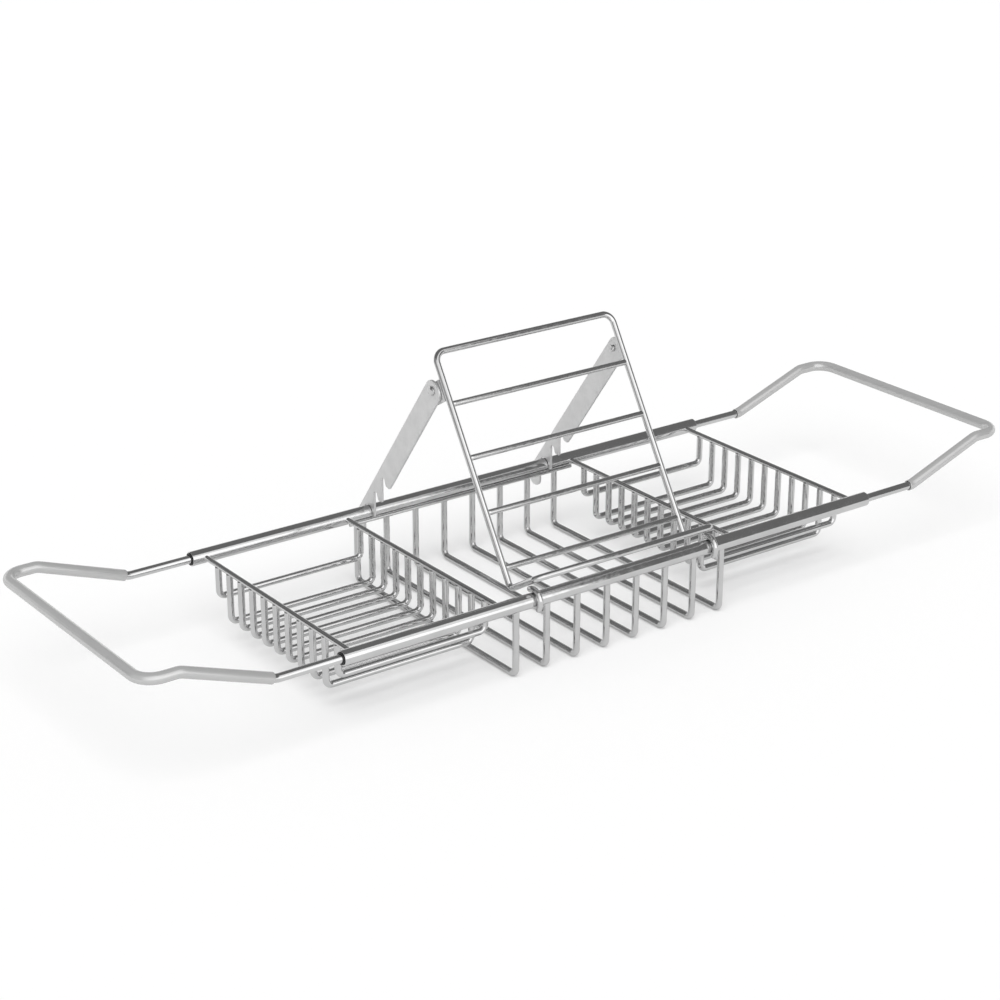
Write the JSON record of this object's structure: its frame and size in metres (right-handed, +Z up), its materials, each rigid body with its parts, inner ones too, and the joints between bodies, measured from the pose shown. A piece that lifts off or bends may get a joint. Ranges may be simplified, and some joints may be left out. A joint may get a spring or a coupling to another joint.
{
  "type": "extendable bath caddy",
  "caption": "Chromed wire bath caddy with handles that slide out to rest on the bath's rims, side trays, a deeper centre basket and a propped book rest that folds forward",
  "frame": {"origin": "middle of the bounding box's bottom, on the surface that the basket wires stand on", "axes": "+X along the rails, +Y to the back (the side where the support arms hook on), +Z up"},
  "size_m": [0.6488, 0.1938, 0.1738],
  "materials": {
    "chromed_wire": "bright chrome plate on steel wire and tube",
    "plated_steel": "flat stamped plate with a dull plated face",
    "black_nylon": "moulded black nylon, satin",
    "grey_vinyl": "soft grey vinyl sleeve, matte"
  },
  "bodies": {
    "caddy": {"basket_front_rim_wire": "chromed_wire", "basket_rear_rim_wire": "chromed_wire", "basket_wire_1": "chromed_wire", "basket_wire_2": "chromed_wire", "basket_wire_3": "chromed_wire", "basket_wire_4": "chromed_wire", "basket_wire_5": "chromed_wire", "basket_wire_6": "chromed_wire", "basket_wire_7": "chromed_wire", "basket_wire_8": "chromed_wire", "front_rail": "chromed_wire", "front_rail_left_bush": "black_nylon", "front_rail_right_bush": "black_nylon", "left_inner_cross_wire": "chromed_wire", "left_outer_cross_wire": "chromed_wire", "left_tray_front_guard": "chromed_wire", "left_tray_rear_guard": "chromed_wire", "left_tray_wire_1": "chromed_wire", "left_tray_wire_2": "chromed_wire", "left_tray_wire_3": "chromed_wire", "left_tray_wire_4": "chromed_wire", "left_tray_wire_5": "chromed_wire", "left_tray_wire_6": "chromed_wire", "left_tray_wire_7": "chromed_wire", "left_tray_wire_8": "chromed_wire", "left_tray_wire_9": "chromed_wire", "rear_rail": "chromed_wire", "rear_rail_left_bush": "black_nylon", "rear_rail_right_bush": "black_nylon", "right_inner_cross_wire": "chromed_wire", "right_outer_cross_wire": "chromed_wire", "right_tray_front_guard": "chromed_wire", "right_tray_rear_guard": "chromed_wire", "right_tray_wire_1": "chromed_wire", "right_tray_wire_2": "chromed_wire", "right_tray_wire_3": "chromed_wire", "right_tray_wire_4": "chromed_wire", "right_tray_wire_5": "chromed_wire", "right_tray_wire_6": "chromed_wire", "right_tray_wire_7": "chromed_wire", "right_tray_wire_8": "chromed_wire", "right_tray_wire_9": "chromed_wire"},
    "left_handle": {"left_handle_rod": "chromed_wire", "left_handle_sleeve": "grey_vinyl"},
    "right_handle": {"right_handle_rod": "chromed_wire", "right_handle_sleeve": "grey_vinyl"},
    "book_rest": {"book_rest_frame": "chromed_wire", "book_rest_left_hook": "chromed_wire", "book_rest_right_hook": "chromed_wire", "book_rest_rung_1": "chromed_wire", "book_rest_rung_2": "chromed_wire", "book_rest_rung_3": "chromed_wire", "book_rest_rung_4": "chromed_wire", "left_arm_rivet": "chromed_wire", "left_lug": "plated_steel", "right_arm_rivet": "chromed_wire", "right_lug": "plated_steel"},
    "left_arm": {"left_support_arm": "plated_steel"},
    "right_arm": {"right_support_arm": "plated_steel"}
  },
  "joints": [
    {"name": "left_handle_slide", "type": "slide", "parent": "caddy", "child": "left_handle", "axis": [-1, 0, 0], "range_m": [-0.0375, 0.11]},
    {"name": "right_handle_slide", "type": "slide", "parent": "caddy", "child": "right_handle", "axis": [1, 0, 0], "range_m": [-0.0375, 0.11]},
    {"name": "book_rest_tilt", "type": "hinge", "parent": "caddy", "child": "book_rest", "pos_m": [0, -0.0885, 0.04749], "axis": [1, 0, 0], "range_deg": [0, 80]},
    {"name": "left_arm_hinge", "type": "hinge", "parent": "book_rest", "child": "left_arm", "pos_m": [-0.06825, 0.00859, 0.14938], "axis": [1, 0, 0], "range_deg": [0, 20]},
    {"name": "right_arm_hinge", "type": "hinge", "parent": "book_rest", "child": "right_arm", "pos_m": [0.06825, 0.00859, 0.14938], "axis": [1, 0, 0], "range_deg": [0, 20]}
  ],
  "couplings": [
    {"joint": "left_arm_hinge", "follows": "book_rest_tilt", "ratio": 0.25},
    {"joint": "right_arm_hinge", "follows": "book_rest_tilt", "ratio": 0.25}
  ]
}
